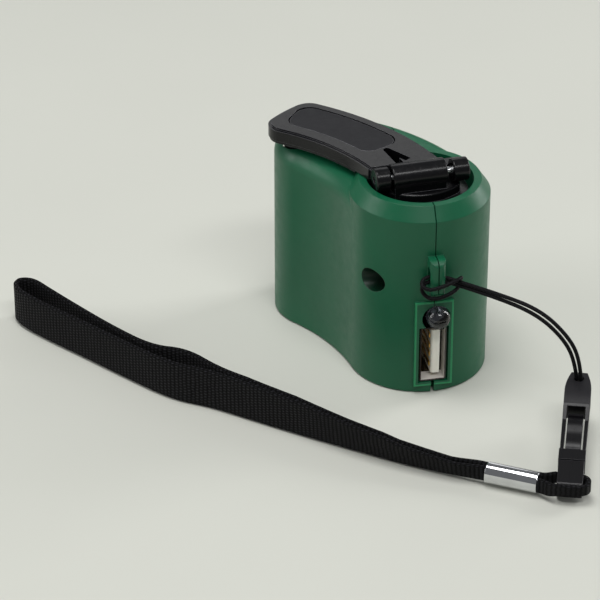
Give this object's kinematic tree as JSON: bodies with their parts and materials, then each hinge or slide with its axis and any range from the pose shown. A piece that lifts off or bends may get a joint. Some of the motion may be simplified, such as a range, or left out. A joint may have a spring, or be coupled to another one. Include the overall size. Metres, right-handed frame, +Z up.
{
  "type": "hand crank phone charger",
  "caption": "Pocket hand generator with a folding crank, USB charging socket, small lamp and a wrist strap on a clip",
  "frame": {"origin": "point on the case's base under the crank's axis", "axes": "+Z up along the crank's axis, -Y out of the USB socket, +X towards the case's right half; the case's seam is the plane X = 0"},
  "size_m": [0.1124, 0.1007, 0.0489],
  "materials": {
    "case_green": "green ABS, fine satin moulding",
    "steel_zinc": "zinc-plated steel screw",
    "steel_bright": "ground steel pin",
    "plate_black": "black moulded plate",
    "can_steel": "drawn steel can",
    "cap_plastic": "black end cap",
    "copper_wire": "enamelled copper winding",
    "board_green": "fibreglass board with green solder mask",
    "usb_nickel": "nickel-plated pressed shell",
    "usb_white": "white moulded tongue",
    "contact_gold": "gold-flashed contact",
    "led_clear": "clear epoxy lamp body",
    "lead_tin": "tinned lead",
    "capacitor_sleeve": "dark blue sleeve",
    "chip_black": "black epoxy package",
    "ferrite": "grey ferrite",
    "cord_black": "thin braided nylon cord",
    "buckle_black": "black acetal, finely spark-eroded",
    "crank_black": "black ABS, semi-gloss",
    "inlay_black": "black ABS, fine matt texture",
    "gear_white": "natural acetal gear",
    "pinion_brass": "turned brass pinion",
    "crimp_chrome": "polished chrome-plated sheet",
    "strap_webbing": "coarse woven black nylon webbing"
  },
  "bodies": {
    "case": {"case_left": "case_green", "case_right": "case_green", "case_screw": "steel_zinc", "axle_a": "steel_bright", "axle_b": "steel_bright", "gear_plate": "plate_black", "generator_can": "can_steel", "generator_cap": "cap_plastic", "generator_coil": "copper_wire", "circuit_board": "board_green", "usb_shell": "usb_nickel", "usb_insulator": "usb_white", "usb_contacts": "contact_gold", "led_lamp": "led_clear", "led_leads": "lead_tin", "capacitor": "capacitor_sleeve", "regulator_chip": "chip_black", "choke_coil": "ferrite", "diodes": "chip_black", "lanyard_hitch": "cord_black", "cord_upper": "cord_black", "cord_lower": "cord_black", "buckle_socket": "buckle_black"},
    "hub": {"crank_hub": "crank_black", "hub_screw": "steel_zinc", "drive_gear": "gear_white"},
    "arm": {"crank_arm": "crank_black", "arm_inlay": "inlay_black", "hinge_pin": "steel_bright", "knob_screw": "steel_zinc"},
    "knob": {"crank_knob": "crank_black"},
    "first_gear": {"gear_a": "gear_white"},
    "second_gear": {"gear_b": "gear_white"},
    "rotor": {"rotor_shaft": "steel_bright", "rotor_magnet": "ferrite", "rotor_pinion": "pinion_brass"},
    "strap": {"buckle_catch": "buckle_black", "crimp_sleeve": "crimp_chrome", "wrist_strap": "strap_webbing"}
  },
  "joints": [
    {"name": "crank_spin", "type": "hinge", "parent": "case", "child": "hub", "pos_m": [0, 0, 0.036], "axis": [0, 0, -1], "continuous": true},
    {"name": "crank_fold", "type": "hinge", "parent": "hub", "child": "arm", "pos_m": [0.00015, -0.00209, 0.046], "axis": [0.9976, 0.0698, 0], "range_deg": [0, 180]},
    {"name": "knob_spin", "type": "hinge", "parent": "arm", "child": "knob", "pos_m": [-0.0201, 0.0249, 0.034], "axis": [0, 0, 1], "continuous": true},
    {"name": "first_gear_spin", "type": "hinge", "parent": "case", "child": "first_gear", "pos_m": [-0.0025, 0.01225, 0.028], "axis": [0, 0, -1], "continuous": true},
    {"name": "second_gear_spin", "type": "hinge", "parent": "case", "child": "second_gear", "pos_m": [-0.009, 0.02049, 0.021], "axis": [0, 0, -1], "continuous": true},
    {"name": "rotor_spin", "type": "hinge", "parent": "case", "child": "rotor", "pos_m": [-0.01655, 0.02743, 0.01], "axis": [0, 0, -1], "continuous": true},
    {"name": "buckle_release", "type": "slide", "parent": "case", "child": "strap", "axis": [-0.3158, -0.9156, -0.2487], "range_m": [0, 0.015]}
  ],
  "couplings": [
    {"joint": "first_gear_spin", "follows": "crank_spin", "ratio": -4},
    {"joint": "second_gear_spin", "follows": "crank_spin", "ratio": 12.8},
    {"joint": "rotor_spin", "follows": "crank_spin", "ratio": -45.511}
  ]
}
